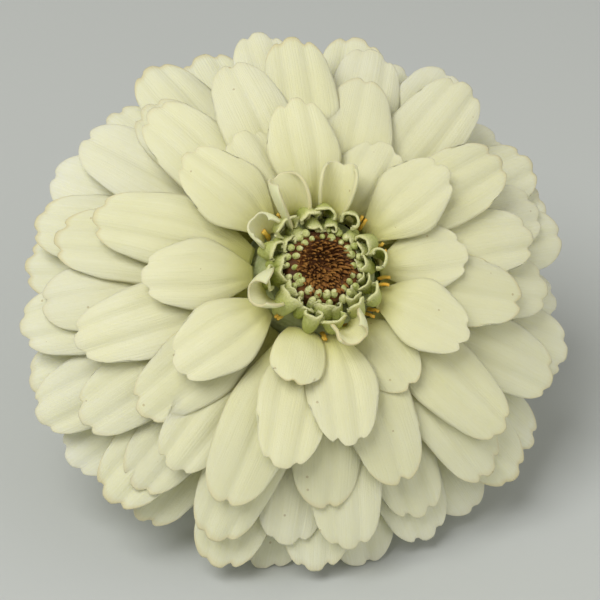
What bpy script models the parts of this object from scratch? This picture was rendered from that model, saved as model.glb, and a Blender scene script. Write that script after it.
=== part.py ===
"""A double zinnia, picked with ten centimetres of stem and lying on a table.

The bloom is modelled in its own frame: +Z looks out of the flower's face, +Y is the side that
ends up uppermost, and the origin is the middle of the receptacle's rim. The whole flower is then
laid down on the three points that really carry it, with its lowest point at height zero.
"""

import math
from collections import namedtuple

import bmesh
import bpy
from mathutils import Matrix, Vector

MM = 0.001

# Ray florets stand on the receptacle in rings, level 0 outermost and lowest. Every ring's florets
# alternate between a little above and a little below its level, so neighbours pass each other.
CLAW_RADIUS = 9.8 * MM  # where a level 0 floret leaves the receptacle
CLAW_RADIUS_STEP = -0.42 * MM  # change for each level further in
CLAW_HEIGHT = 1.5 * MM
CLAW_HEIGHT_STEP = 1.95 * MM
RISE = -2.0  # degrees above level at which a level 0 floret starts out
RISE_STEP = 12.0
STAGGER = 0.25  # of a level, at the claw
TIP_STAGGER = 0.7 * MM

RAY_THICKNESS = 0.4 * MM
RAY_ACROSS = 4  # grid cells over a floret's width
RAY_ALONG = 5  # and over its length
RAY_ARCH = 0.03  # how far the edges droop below the midline, against the width

# A ring's florets are (azimuth in degrees, reach in millimetres from the flower's axis). Azimuths run
# counter-clockwise as seen from the front, from 0 at the viewer's right.
Ring = namedtuple("Ring", "name tip_height width per_node florets")
RINGS = (
    Ring("ray_a", -7.8 * MM, 10.0 * MM, 2, (
        (-164, 38), (-147, 38), (-128, 37), (-100, 37), (-79, 37), (-52, 37), (-34, 38), (-2, 37),
        (21, 38), (38, 38), (64, 37), (87, 37), (108, 37), (132, 36), (151, 37), (170, 37))),
    Ring("ray_b", -4.7 * MM, 10.0 * MM, 2, (
        (-174, 38), (-156, 39), (-136, 38), (-110, 38), (-90, 37), (-65, 37), (-42, 38), (-12, 38),
        (12, 38), (29, 39), (53, 39), (75, 38), (96, 36), (121, 38), (142, 36), (162, 37))),
    Ring("ray_c", -0.7 * MM, 9.8 * MM, 2, (
        (-152, 35), (-133, 35), (-112, 36), (-97, 34), (-83, 35), (-66, 34), (-46, 35), (-21, 36),
        (0, 33), (19, 35), (50, 37), (70, 36), (97, 36), (128, 33), (168, 34), (181, 35))),
    Ring("ray_d", 4.8 * MM, 9.4 * MM, 2, (
        (71, 29), (91, 34), (109, 31), (131, 31), (162, 30), (194, 32), (216, 29), (230, 31),
        (246, 32), (272, 30), (291, 29), (321, 32), (353, 28), (370, 31), (392, 31))),
    Ring("ray_e", 11.0 * MM, 8.8 * MM, 1, (
        (-147, 23), (-105, 26), (-83, 23), (-52, 19), (-24, 21), (5, 20), (36, 22), (61, 20),
        (94, 23), (115, 21), (137, 23), (180, 23))),
    Ring("ray_f", 15.0 * MM, 5.6 * MM, 1, (
        (-156, 11), (-108, 16), (-72, 11), (78, 14), (116, 13), (147, 11))),
)

# The outline of a floret or bract swells from its claw as part of a wave, and ends in a round tip.
SWELL_START = 0.1  # of half a wave, at the claw
SWELL_SPAN = 0.5
SWELL_SHARPNESS = 1.1
TIP_NARROWING = 0.34
TIP_NARROWING_POWER = 7
TIP_ROUNDING = 0.09  # how far the corners of the tip fall short of its middle, against the length
KNEE = 0.42  # where the midline's start and end directions meet, against its length
ARCH_RUN_IN = 0.5  # share of the length over which the arch across it builds up

RECEPTACLE_SIDES = 24
RECEPTACLE_PROFILE = (  # (radius, height), down the outside
    (0.0, 11.2 * MM), (4.6 * MM, 11.0 * MM), (7.0 * MM, 10.7 * MM), (8.3 * MM, 6.0 * MM),
    (9.35 * MM, 1.0 * MM), (9.6 * MM, -0.7 * MM), (7.5 * MM, -2.6 * MM), (4.2 * MM, -3.6 * MM),
    (2.2 * MM, -4.2 * MM), (0.0, -4.2 * MM),
)
DISC_PROFILE = (  # the cushion of unopened florets, with its sunken middle
    (0.0, 12.4 * MM), (1.4 * MM, 12.9 * MM), (3.2 * MM, 14.1 * MM), (4.7 * MM, 13.5 * MM),
    (5.2 * MM, 12.2 * MM), (5.0 * MM, 11.5 * MM), (0.0, 11.6 * MM),
)

# Young florets: a crown of short half-open tongues between the disc and the opened rays.
CROWN_COUNT = 20
CROWN_CLAW = (6.1 * MM, 11.4 * MM)
CROWN_TIP = (8.4 * MM, 16.0 * MM)
CROWN_RISE = 80.0
CROWN_WIDTH = 2.3 * MM
CROWN_ARCH = -0.1  # rolled inwards

# Green bracts clasp the receptacle from below: (count, claw, tip, rise, width) for each row.
BRACT_THICKNESS = 0.5 * MM
BRACT_ROWS = (
    (9, (4.4 * MM, -4.7 * MM), (11.5 * MM, -0.8 * MM), 10.0, 6.1 * MM),
    (8, (3.7 * MM, -5.9 * MM), (10.3 * MM, -3.0 * MM), 8.0, 5.9 * MM),
    (8, (3.0 * MM, -7.0 * MM), (8.3 * MM, -5.4 * MM), 6.0, 4.5 * MM),
)

STEM_RADIUS = 1.75 * MM
STEM_TOP = -4.6 * MM
STEM_NECK = 10.0 * MM  # straight, below the bloom
STEM_BEND = math.radians(44.0)  # towards the upper side, so that the cut end lies on the table
STEM_BEND_LENGTH = 50.0 * MM
STEM_TAIL = 40.0 * MM
STEM_POINTS = 20
STEM_BOW = 3.0 * MM  # how far the stem wanders sideways

FACE_ELEVATION = math.radians(45.0)  # roughly how far above level the face looks once laid down

PALETTE = {  # name: (colour, roughness)
    "ray": ((0.86, 0.85, 0.68), 0.55),
    "young": ((0.46, 0.56, 0.22), 0.6),
    "disc": ((0.24, 0.11, 0.03), 0.8),
    "receptacle": ((0.55, 0.58, 0.30), 0.7),
    "bract": ((0.16, 0.27, 0.08), 0.6),
    "stem": ((0.20, 0.32, 0.10), 0.6),
}


def clear_scene():
    for old in list(bpy.data.objects):
        bpy.data.objects.remove(old)


def make_material(name):
    colour, roughness = PALETTE[name]
    material = bpy.data.materials.new(name)
    material.use_nodes = True
    shader = material.node_tree.nodes["Principled BSDF"]
    shader.inputs["Base Color"].default_value = (*colour, 1.0)
    shader.inputs["Roughness"].default_value = roughness
    shader.inputs["Metallic"].default_value = 0.0
    return material


def add_object(name, data, flower, material):
    piece = bpy.data.objects.new(name, data)
    data.materials.append(bpy.data.materials[material])
    bpy.data.collections["zinnia_flower"].objects.link(piece)
    piece.parent = flower
    return piece


def midline(claw, tip, rise, share):
    """(radius, height, direction) at a share of the curve that leaves claw at the angle rise and ends at tip."""
    lead = KNEE * math.hypot(tip[0] - claw[0], tip[1] - claw[1])
    knee = (claw[0] + lead * math.cos(rise), claw[1] + lead * math.sin(rise))
    start = [a + (b - a) * share for a, b in zip(claw, knee)]
    end = [a + (b - a) * share for a, b in zip(knee, tip)]
    radius, height = (a + (b - a) * share for a, b in zip(start, end))
    return radius, height, math.atan2(end[1] - start[1], end[0] - start[0])


def outline_share(along, claw_share):
    """Half-width at a share of the length, against the widest: a narrow claw, then a broad rounded blade."""
    swell = math.sin(math.pi * (SWELL_START + SWELL_SPAN * along)) ** SWELL_SHARPNESS
    return claw_share + (1 - claw_share) * swell * (1 - TIP_NARROWING * along**TIP_NARROWING_POWER)


class Tongue:
    """One floret's or bract's place: the curve of its midline, its azimuth, its width and its arch."""

    def __init__(self, claw, tip, rise, azimuth, width, claw_share=0.16, arch=0.0):
        self.claw, self.tip, self.rise = claw, tip, math.radians(rise)
        self.azimuth, self.width = azimuth, width
        self.claw_share, self.arch = claw_share, arch

    def point(self, across, along):
        """The blade's point for across from -1 to 1 and along from 0 at the claw to 1 at the tip."""
        share = along * (1 - TIP_ROUNDING * across**2 * along**3)
        radius, height, heading = midline(self.claw, self.tip, self.rise, share)
        half = 0.5 * self.width * outline_share(along, self.claw_share)
        droop = -self.arch * self.width * across**2 * min(1.0, along / ARCH_RUN_IN)
        radius -= droop * math.sin(heading)
        height += droop * math.cos(heading)
        sideways = -across * half
        cos_a, sin_a = math.cos(self.azimuth), math.sin(self.azimuth)
        return Vector((radius * cos_a - sideways * sin_a, radius * sin_a + sideways * cos_a, height))


def add_tongue(bm, tongue, cells_across, cells_along):
    """Adds the tongue's open sheet and returns its first two vertices up each side, {-1: [..], 1: [..]}."""
    grid = bmesh.ops.create_grid(bm, x_segments=cells_across, y_segments=cells_along, size=1.0)
    sides = {-1: [], 1: []}
    for vertex in sorted(grid["verts"], key=lambda v: v.co.y):
        across, along = round(vertex.co.x, 3), (vertex.co.y + 1) / 2
        if across in sides:
            sides[across].append(vertex)
        vertex.co = tongue.point(across, along)
    return {side: found[:2] for side, found in sides.items()}


def make_fan(name, tongues, flower, material, thickness, cells=(RAY_ACROSS, RAY_ALONG), ring=False):
    """Tongues side by side, each joined to the next at its claw, as one thin solid."""
    bm = bmesh.new()
    sides = [add_tongue(bm, tongue, *cells) for tongue in tongues]
    joints = list(zip(sides, sides[1:] + sides[:1])) if ring else list(zip(sides, sides[1:]))
    for first, second in joints:
        bm.faces.new((first[-1][0], second[1][0], second[1][1], first[-1][1]))
    bmesh.ops.recalc_face_normals(bm, faces=bm.faces)
    mesh = bpy.data.meshes.new(name)
    bm.to_mesh(mesh)
    bm.free()
    mesh.shade_smooth()
    piece = add_object(name, mesh, flower, material)
    shell = piece.modifiers.new("thickness", "SOLIDIFY")
    shell.thickness = thickness
    shell.offset = 0.0
    return piece


def ray_tongues(level, ring):
    """The ring's florets in order round the flower, alternately above and below the ring's level."""
    tongues = []
    for index, (azimuth, reach) in enumerate(ring.florets):
        side = 1 if index % 2 == 0 else -1
        height = level + side * STAGGER
        claw = (CLAW_RADIUS + CLAW_RADIUS_STEP * height, CLAW_HEIGHT + CLAW_HEIGHT_STEP * height)
        tip = (reach * MM, ring.tip_height + side * TIP_STAGGER)
        rise = RISE + RISE_STEP * height
        tongues.append(Tongue(claw, tip, rise, math.radians(azimuth), ring.width, arch=RAY_ARCH))
    return tongues


def make_rays(flower):
    for level, ring in enumerate(RINGS):
        tongues = ray_tongues(level, ring)
        groups = [tongues[i:i + ring.per_node] for i in range(0, len(tongues), ring.per_node)]
        for number, group in enumerate(groups, start=1):
            make_fan(f"{ring.name}_{number:02d}", group, flower, "ray", RAY_THICKNESS)


def make_crown(flower):
    step = 2 * math.pi / CROWN_COUNT
    tongues = [
        Tongue(CROWN_CLAW, CROWN_TIP, CROWN_RISE, i * step, CROWN_WIDTH, claw_share=0.55, arch=CROWN_ARCH)
        for i in range(CROWN_COUNT)
    ]
    make_fan("young_florets", tongues, flower, "young", RAY_THICKNESS, cells=(2, 3), ring=True)


def make_bracts(flower):
    for row, (count, claw, tip, rise, width) in enumerate(BRACT_ROWS, start=1):
        step = 2 * math.pi / count
        tongues = [
            Tongue(claw, tip, rise, (i + 0.5 * row) * step, width, claw_share=0.2)
            for i in range(count)
        ]
        make_fan(f"bract_row_{row}", tongues, flower, "bract", BRACT_THICKNESS, cells=(2, 4), ring=True)


def make_turned(name, profile, flower, material):
    mesh = bpy.data.meshes.new(name)
    points = [(radius, 0.0, height) for radius, height in profile]
    mesh.from_pydata(points, [(i, i + 1) for i in range(len(points) - 1)], [])
    piece = add_object(name, mesh, flower, material)
    turn = piece.modifiers.new("turn", "SCREW")
    turn.steps = turn.render_steps = RECEPTACLE_SIDES
    turn.use_merge_vertices = True
    turn.merge_threshold = 0.00005
    turn.use_smooth_shade = True
    return piece


def stem_path():
    """Points down the stem: straight under the bloom, through the bend, then straight to the cut."""
    length = STEM_NECK + STEM_BEND_LENGTH + STEM_TAIL
    points, place = [], Vector((0.0, 0.0, STEM_TOP))
    pace = length / STEM_POINTS
    for i in range(STEM_POINTS + 1):
        gone = i * pace
        bow = STEM_BOW * math.sin(math.pi * gone / length) ** 2
        points.append(place + Vector((bow, 0.0, 0.0)))
        bent = min(1.0, max(0.0, (gone + pace / 2 - STEM_NECK) / STEM_BEND_LENGTH)) * STEM_BEND
        place = place + pace * Vector((0.0, math.sin(bent), -math.cos(bent)))
    return points


def make_stem(flower):
    curve = bpy.data.curves.new("stem", "CURVE")
    curve.dimensions = "3D"
    curve.bevel_depth = STEM_RADIUS
    curve.bevel_resolution = 3
    curve.use_fill_caps = True
    spline = curve.splines.new("POLY")
    points = stem_path()
    spline.points.add(len(points) - 1)
    for target, point in zip(spline.points, points):
        target.co = (*point, 1.0)
    return add_object("stem", curve, flower, "stem")


def world_triangles(pieces):
    """Every triangle of the pieces as they are now, as corner triples."""
    graph = bpy.context.evaluated_depsgraph_get()
    triangles = []
    for piece in pieces:
        evaluated = piece.evaluated_get(graph)
        mesh = evaluated.to_mesh()
        mesh.calc_loop_triangles()
        places = [evaluated.matrix_world @ vertex.co for vertex in mesh.vertices]
        triangles += [tuple(places[i] for i in t.vertices) for t in mesh.loop_triangles]
        evaluated.to_mesh_clear()
    return triangles


def centre_of_mass(triangles):
    volume, moment = 0.0, Vector()
    for a, b, c in triangles:
        share = a.dot(b.cross(c)) / 6
        volume += share
        moment += share * (a + b + c) / 4
    return moment / volume


def under(point, a, b, c, normal):
    """Whether the point, moved along the normal, lies in the triangle."""
    sides = [(b - a).cross(point - a), (c - b).cross(point - b), (a - c).cross(point - c)]
    return all(side.dot(normal) >= 0 for side in sides)


def resting_turn(triangles):
    """The small turn that puts the flower on the three points that carry it."""
    heavy = centre_of_mass(triangles)
    bm = bmesh.new()
    for place in {tuple(corner) for triangle in triangles for corner in triangle}:
        bm.verts.new(place)
    bmesh.ops.convex_hull(bm, input=bm.verts)
    bmesh.ops.triangulate(bm, faces=bm.faces)
    bm.normal_update()
    carrying = [
        face.normal.copy() for face in bm.faces
        if under(heavy, *(corner.co for corner in face.verts), face.normal)
    ]
    bm.free()
    down = Vector((0.0, 0.0, -1.0))
    lowest = max(carrying, key=lambda normal: normal.dot(down))
    return lowest.rotation_difference(down).to_matrix().to_4x4()


def lay_down(flower, pieces):
    flower.matrix_world = Matrix.Rotation(math.pi / 2 - FACE_ELEVATION, 4, "X")
    bpy.context.view_layer.update()
    flower.matrix_world = resting_turn(world_triangles(pieces)) @ flower.matrix_world
    bpy.context.view_layer.update()
    corners = [corner for triangle in world_triangles(pieces) for corner in triangle]
    low = Vector([min(corner[i] for corner in corners) for i in range(3)])
    high = Vector([max(corner[i] for corner in corners) for i in range(3)])
    foot = Vector(((low.x + high.x) / 2, (low.y + high.y) / 2, low.z))
    flower.matrix_world = Matrix.Translation(-foot) @ flower.matrix_world


def main():
    clear_scene()
    collection = bpy.data.collections.new("zinnia_flower")
    bpy.context.scene.collection.children.link(collection)
    for name in PALETTE:
        make_material(name)
    flower = bpy.data.objects.new("flower", None)
    collection.objects.link(flower)
    make_stem(flower)
    make_turned("receptacle", RECEPTACLE_PROFILE, flower, "receptacle")
    make_turned("disc_florets", DISC_PROFILE, flower, "disc")
    make_bracts(flower)
    make_crown(flower)
    make_rays(flower)
    lay_down(flower, [o for o in collection.objects if o.type != "EMPTY"])


main()
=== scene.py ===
"""A cream double zinnia lying on a table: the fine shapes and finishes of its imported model."""

import math
import random
from collections import namedtuple

import bmesh
import bpy
import numpy as np
from bpy.props import FloatProperty, FloatVectorProperty, IntProperty, PointerProperty
from mathutils import Matrix, Vector


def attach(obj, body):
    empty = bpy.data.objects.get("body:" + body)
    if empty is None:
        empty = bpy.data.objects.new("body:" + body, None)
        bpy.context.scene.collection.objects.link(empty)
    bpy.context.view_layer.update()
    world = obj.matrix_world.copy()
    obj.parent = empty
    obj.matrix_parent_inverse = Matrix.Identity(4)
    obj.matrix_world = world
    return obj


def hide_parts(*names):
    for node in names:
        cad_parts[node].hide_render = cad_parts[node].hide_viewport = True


bl_info = {
    "name": "Double Zinnia",
    "version": (1, 0, 0),
    "blender": (4, 5, 0),
    "location": "3D View > Sidebar > Zinnia",
    "description": "Grows the petals, centre, bracts and stem of a double zinnia over its packed model",
    "category": "Add Mesh",
}

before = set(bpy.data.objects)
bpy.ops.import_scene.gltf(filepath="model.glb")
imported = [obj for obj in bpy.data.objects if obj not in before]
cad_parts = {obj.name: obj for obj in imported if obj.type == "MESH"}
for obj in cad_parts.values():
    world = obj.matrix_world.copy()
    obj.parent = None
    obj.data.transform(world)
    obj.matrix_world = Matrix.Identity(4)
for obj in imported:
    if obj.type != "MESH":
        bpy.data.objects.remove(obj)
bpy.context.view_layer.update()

MM = 0.001
BODY = "root"
RINGS = ("ray_a", "ray_b", "ray_c", "ray_d", "ray_e")
BRACT_ROWS = ("bract_row_1", "bract_row_2", "bract_row_3")
RECEPTACLE_FOOT = -4.2 * MM  # height of the receptacle's lowest point in the flower's own frame

# The midline of a petal leaves the receptacle more steeply the higher it grows.
RISE_AT_BASE = -2.0  # degrees, where the claw is at CLAW_BASE
RISE_PER_METRE = 12.0 / (1.95 * MM)
CLAW_BASE = 1.5 * MM
KNEE = 0.42  # where the midline's start and end directions meet, against its length

STEM_TOP = -4.6 * MM
STEM_NECK = 10.0 * MM
STEM_BEND = math.radians(44.0)
STEM_BEND_LENGTH = 50.0 * MM
STEM_TAIL = 40.0 * MM
STEM_BOW = 3.0 * MM
STEM_RADIUS = 1.72 * MM
STEM_RIBS = 9
STEM_SIDES = 72
STEM_ROWS = 150
ACROSS_STEM = np.array([1.0, 0.0, 0.0])

PETAL_CLAW_SHARE = 0.16  # width of a petal's claw, against its blade
BRACT_CLAW_SHARE = 0.4
BRACT_WIDTHS = (7.2 * MM, 6.8 * MM, 5.6 * MM)  # row by row, as in BRACT_ROWS
BRACT_RISES = (10.0, 8.0, 6.0)  # degrees, where a bract leaves the receptacle
BRACT_THICKNESS = 0.45 * MM

UV_NAME = "blade"
BEND_HEIGHT = 1.0 * MM  # petals closer to the floor than this bend away from it

Floret = namedtuple("Floret", "azimuth claw tip")


# How near its end a packed floret's corner counts as part of its claw or tip.
CLAW_REACH = 1.2 * MM
TIP_REACH = 0.3 * MM
PAIR_STEP = 0.8 * MM  # two petals that share a node have claws at heights further apart than this
ON_MIDLINE = math.radians(0.4)
TONGUE_CLAW_REACH = 0.5 * MM
TONGUE_TIP_REACH = 0.15 * MM
TONGUE_GAP = math.radians(5)  # the tips of two tongues of a ring stand further apart than this


# ---- the flower's own frame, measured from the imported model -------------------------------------

def node_points(name):
    """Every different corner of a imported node, in the world."""
    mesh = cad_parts[name].data
    points = np.empty(len(mesh.vertices) * 3)
    mesh.vertices.foreach_get("co", points)
    return np.unique(points.reshape(-1, 3).round(7), axis=0)


def flower_frame():
    """The matrix from the flower's frame (+Z out of its face, +Y over the stem) to the world."""
    receptacle, disc, stem = (node_points(n) for n in ("receptacle", "disc_florets", "stem"))
    middle = receptacle.mean(axis=0)
    out = disc.mean(axis=0) - middle
    out /= np.linalg.norm(out)
    foot = ((receptacle - middle) @ out).min()
    origin = middle + (foot - RECEPTACLE_FOOT) * out
    away = np.linalg.norm(stem - origin, axis=1)
    cut = stem[away > away.max() - 2 * MM].mean(axis=0) - origin
    over = cut - (cut @ out) * out
    over /= np.linalg.norm(over)
    side = np.cross(over, out)
    axes = np.array([side, over, out]).T
    return Matrix([(*row, shift) for row, shift in zip(axes, origin)] + [(0, 0, 0, 1)])


FLOWER = flower_frame()
FLOWER_TURN = np.array(FLOWER.to_3x3())
FLOWER_ORIGIN = np.array(FLOWER.translation)


def to_world(points):
    return points @ FLOWER_TURN.T + FLOWER_ORIGIN


def in_flower(name):
    """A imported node's corners in the flower's frame, with their radii and azimuths."""
    points = (node_points(name) - FLOWER_ORIGIN) @ FLOWER_TURN
    return points, np.hypot(points[:, 0], points[:, 1]), np.arctan2(points[:, 1], points[:, 0])


def angle_between(a, b):
    return np.abs((a - b + math.pi) % (2 * math.pi) - math.pi)


def measure_florets(name):
    """The one or two petals of a packed ray node, told apart by the heights of their claws."""
    points, radius, azimuth = in_flower(name)
    claws = radius < radius.min() + CLAW_REACH
    height = points[:, 2]
    split = (height[claws].min() + height[claws].max()) / 2
    pair = np.ptp(height[claws]) > PAIR_STEP
    florets = []
    for part in ((claws & (height < split), claws & (height >= split)) if pair else (claws,)):
        middle = points[part].mean(axis=0)
        turn = math.atan2(middle[1], middle[0])
        claw = (radius[part].mean(), middle[2])
        midline_points = angle_between(azimuth, turn) < ON_MIDLINE
        end = midline_points & (radius > radius[midline_points].max() - TIP_REACH)
        florets.append(Floret(turn, claw, (radius[end].mean(), height[end].mean())))
    return florets


def measure_ring(name):
    """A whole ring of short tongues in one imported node."""
    points, radius, azimuth = in_flower(name)
    tips = radius > radius.max() - TONGUE_TIP_REACH
    claws = radius < radius.min() + TONGUE_CLAW_REACH
    turns = np.sort(azimuth[tips])
    starts = turns[np.append(True, np.diff(turns) > TONGUE_GAP)]
    claw = (radius[claws].mean(), points[claws, 2].mean())
    tip = (radius[tips].mean(), points[tips, 2].mean())
    return [Floret(turn, claw, tip) for turn in starts]


def ring_nodes(prefix):
    return sorted(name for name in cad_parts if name.startswith(prefix + "_"))


# ---- settings ------------------------------------------------------------------------------------

def length_setting(name, description, default):
    return FloatProperty(name=name, description=description, default=default, min=0.0, unit="LENGTH",
                         precision=5)


def colour_setting(name, description, default):
    return FloatVectorProperty(name=name, description=description, default=default, size=3, min=0.0, max=1.0,
                               subtype="COLOR")


class ZinniaPetals(bpy.types.PropertyGroup):
    width: length_setting("Width", "Width of an outer petal", 10.9 * MM)
    inner_width: length_setting("Inner width", "Width of a petal of the innermost full ring", 9.8 * MM)
    thickness: length_setting("Thickness", "Thickness of a petal along its midline", 0.3 * MM)
    groove: length_setting("Groove", "Depth of the grooves along a petal", 0.32 * MM)
    notch: length_setting("Notch", "Depth of the notches in a petal's tip", 0.55 * MM)
    face: colour_setting("Face", "Colour of a petal's blade", (0.79, 0.775, 0.525))
    tip: colour_setting("Tip", "Colour towards a petal's tip", (0.85, 0.845, 0.65))
    # Claw: a petal's own yellow-green base, deepened as painted shade where the claws lie under the petals above.
    claw: colour_setting("Claw", "Colour where a petal narrows", (0.60, 0.58, 0.15))
    inner: colour_setting("Inner", "Colour that the inner petals lean to", (0.70, 0.66, 0.30))
    under: colour_setting("Underside", "Colour of a petal's back", (0.66, 0.69, 0.42))
    margin: colour_setting("Margin", "Colour of a petal's thin edge", (0.68, 0.58, 0.30))


class ZinniaCentre(bpy.types.PropertyGroup):
    width: length_setting("Width", "Flat width of a large young floret", 4.6 * MM)
    wall: length_setting("Wall", "Thickness of a young floret", 0.34 * MM)
    leaf: colour_setting("Leaf", "Colour of the young florets", (0.36, 0.42, 0.07))
    rim: colour_setting("Rim", "Colour of the young florets' margins", (0.80, 0.78, 0.40))
    bud: colour_setting("Bud", "Colour of the smallest buds", (0.30, 0.36, 0.06))
    scale: colour_setting("Scale", "Colour of the papery scales", (0.20, 0.075, 0.015))
    # Pit: painted shade, a near-black given to the cushion so that the gaps between the scales look deep.
    pit: colour_setting("Pit", "Colour deep between the scales", (0.05, 0.018, 0.006))
    style: colour_setting("Style", "Colour of the styles", (0.85, 0.42, 0.03))
    buds: IntProperty(name="Buds", description="Number of small buds in each of their rings", default=22,
                      min=3)
    scales: IntProperty(name="Scales", description="Number of papery scales", default=190, min=10)


class ZinniaGreens(bpy.types.PropertyGroup):
    bract: colour_setting("Bract", "Colour of the bracts", (0.16, 0.27, 0.07))
    bract_margin: colour_setting("Bract margin", "Colour of the bracts' dark edges", (0.025, 0.02, 0.012))
    stem: colour_setting("Stem", "Colour of the stem", (0.20, 0.32, 0.09))
    stem_rib: colour_setting("Stem rib", "Colour of the stem's ribs", (0.32, 0.42, 0.15))
    pith: colour_setting("Pith", "Colour of the cut end", (0.62, 0.66, 0.42))
    hair: length_setting("Hair", "Length of the stem's hairs", 0.7 * MM)
    hairs: IntProperty(name="Hairs", description="Number of hairs on the stem", default=1500, min=0)


class ZinniaStage(bpy.types.PropertyGroup):
    floor: colour_setting("Floor", "Colour of the floor", (0.56, 0.58, 0.55))
    key: FloatProperty(name="Key light", description="Power of the large soft light", default=5.2, min=0.0,
                       unit="POWER")
    fill: FloatProperty(name="Fill light", description="Power of the weak opposite light", default=1.5,
                        min=0.0,
                        unit="POWER")


# ---- node helpers --------------------------------------------------------------------------------

def new_node(tree, kind, settings=None, **inputs):
    """A node with its settings made and its inputs set or linked; an underscore stands for a space."""
    node = tree.nodes.new(kind)
    for name, value in (settings or {}).items():
        setattr(node, name, value)
    for name, value in inputs.items():
        socket = node.inputs[name.replace("_", " ")]
        if isinstance(value, bpy.types.NodeSocket):
            tree.links.new(value, socket)
        else:
            socket.default_value = value
    return node


def maths(tree, operation, first, second=0.0, clamp=False):
    node = tree.nodes.new("ShaderNodeMath")
    node.operation = operation
    node.use_clamp = clamp
    for socket, value in zip(node.inputs, (first, second)):
        if isinstance(value, bpy.types.NodeSocket):
            tree.links.new(value, socket)
        else:
            socket.default_value = value
    return node.outputs[0]


def blend_colours(tree, factor, first, second, how="MIX"):
    node = tree.nodes.new("ShaderNodeMix")
    node.data_type = "RGBA"
    node.blend_type = how
    for index, value in ((0, factor), (6, first), (7, second)):
        if isinstance(value, bpy.types.NodeSocket):
            tree.links.new(value, node.inputs[index])
        elif index:
            node.inputs[index].default_value = (*value, 1.0)
        else:
            node.inputs[index].default_value = value
    return node.outputs[2]


def smooth_step(tree, value, start, end, low=0.0, high=1.0):
    node = new_node(tree, "ShaderNodeMapRange", {"interpolation_type": "SMOOTHSTEP"},
                    Value=value, From_Min=start, From_Max=end, To_Min=low, To_Max=high)
    return node.outputs[0]


def surface_value(tree, name):
    return new_node(tree, "ShaderNodeAttribute", {"attribute_name": name}).outputs["Fac"]


def new_group(name, kind, inputs, outputs):
    """An empty node group with its sockets, (name, socket type, default) for an input."""
    group = bpy.data.node_groups.new(name, kind)
    for title, socket_type, default in inputs:
        socket = group.interface.new_socket(title, in_out="INPUT", socket_type=socket_type)
        if default is not None:
            socket.default_value = default
    for title, socket_type in outputs:
        group.interface.new_socket(title, in_out="OUTPUT", socket_type=socket_type)
    return group, group.nodes.new("NodeGroupInput"), group.nodes.new("NodeGroupOutput")


def place_group(tree, group_name, **inputs):
    return new_node(tree, "ShaderNodeGroup", {"node_tree": bpy.data.node_groups[group_name]}, **inputs)


def build_blade_pattern():
    """Where a point lies on a petal, floret or bract, with its veins and its margin."""
    group, given, result = new_group(
        "Blade pattern", "ShaderNodeTree",
        (("Veins", "NodeSocketFloat", 46.0), ("Margin Width", "NodeSocketFloat", 0.05)),
        (("Across", "NodeSocketFloat"), ("Along", "NodeSocketFloat"), ("Veins", "NodeSocketFloat"),
         ("Margin", "NodeSocketFloat")))
    uv = new_node(group, "ShaderNodeUVMap", {"uv_map": UV_NAME})
    parts = new_node(group, "ShaderNodeSeparateXYZ", Vector=uv.outputs[0])
    across = maths(group, "ABSOLUTE",
                   maths(group, "SUBTRACT", maths(group, "MULTIPLY", parts.outputs[0], 2.0), 1.0))
    tint = new_node(group, "ShaderNodeAttribute", {"attribute_name": "tint"})
    lengthwise = new_node(
        group, "ShaderNodeCombineXYZ", X=maths(group, "MULTIPLY", parts.outputs[0], given.outputs["Veins"]),
        Y=maths(group, "MULTIPLY", parts.outputs[1], 2.2),
        Z=maths(group, "MULTIPLY", tint.outputs["Fac"], 31.0))
    veins = new_node(group, "ShaderNodeTexNoise", Vector=lengthwise.outputs[0], Scale=1.0, Detail=3.0,
                     Roughness=0.6)
    inside = maths(group, "SUBTRACT", 1.0, given.outputs["Margin Width"])
    edge = maths(group, "MAXIMUM", across, parts.outputs[1])
    margin = smooth_step(group, edge, inside, 1.0)
    for title, socket in (("Across", across), ("Along", parts.outputs[1]),
                          ("Veins", smooth_step(group, veins.outputs[0], 0.3, 0.7)), ("Margin", margin)):
        group.links.new(socket, result.inputs[title])


def build_skin_grain():
    """Fine grain and broad mottling of living skin, on the piece's own coordinates."""
    group, given, result = new_group(
        "Skin grain", "ShaderNodeTree",
        (("Grain Scale", "NodeSocketFloat", 4000.0), ("Mottle Scale", "NodeSocketFloat", 250.0)),
        (("Grain", "NodeSocketFloat"), ("Mottle", "NodeSocketFloat")))
    place = new_node(group, "ShaderNodeTexCoord")
    for title, scale, detail in (("Grain", "Grain Scale", 2.0), ("Mottle", "Mottle Scale", 3.0)):
        noise = new_node(group, "ShaderNodeTexNoise", Vector=place.outputs["Object"],
                         Scale=given.outputs[scale], Detail=detail)
        group.links.new(smooth_step(group, noise.outputs[0], 0.3, 0.7), result.inputs[title])


def build_specks():
    """Sparse tiny specks, as the weather leaves on a petal."""
    group, given, result = new_group(
        "Specks", "ShaderNodeTree",
        (("Scale", "NodeSocketFloat", 700.0), ("Rarity", "NodeSocketFloat", 0.93),
         ("Size", "NodeSocketFloat", 0.12)),
        (("Mask", "NodeSocketFloat"),))
    place = new_node(group, "ShaderNodeTexCoord")
    cells = new_node(group, "ShaderNodeTexVoronoi", Vector=place.outputs["Object"],
                     Scale=given.outputs["Scale"])
    chosen = maths(group, "GREATER_THAN", new_node(
        group, "ShaderNodeSeparateColor", Color=cells.outputs["Color"]).outputs[0], given.outputs["Rarity"])
    near = maths(group, "LESS_THAN", cells.outputs["Distance"], given.outputs["Size"])
    group.links.new(maths(group, "MULTIPLY", chosen, near), result.inputs["Mask"])


def start_material(name, roughness, subsurface=0.0, sheen=0.0):
    material = bpy.data.materials.new(name)
    material.use_nodes = True
    shader = material.node_tree.nodes["Principled BSDF"]
    shader.inputs["Roughness"].default_value = roughness
    shader.inputs["Subsurface Weight"].default_value = subsurface
    shader.inputs["Subsurface Radius"].default_value = (1.0, 0.95, 0.55)
    shader.inputs["Subsurface Scale"].default_value = 1.2 * MM
    shader.inputs["Sheen Weight"].default_value = sheen
    shader.inputs["Specular IOR Level"].default_value = 0.35
    return material, material.node_tree, shader


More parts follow.
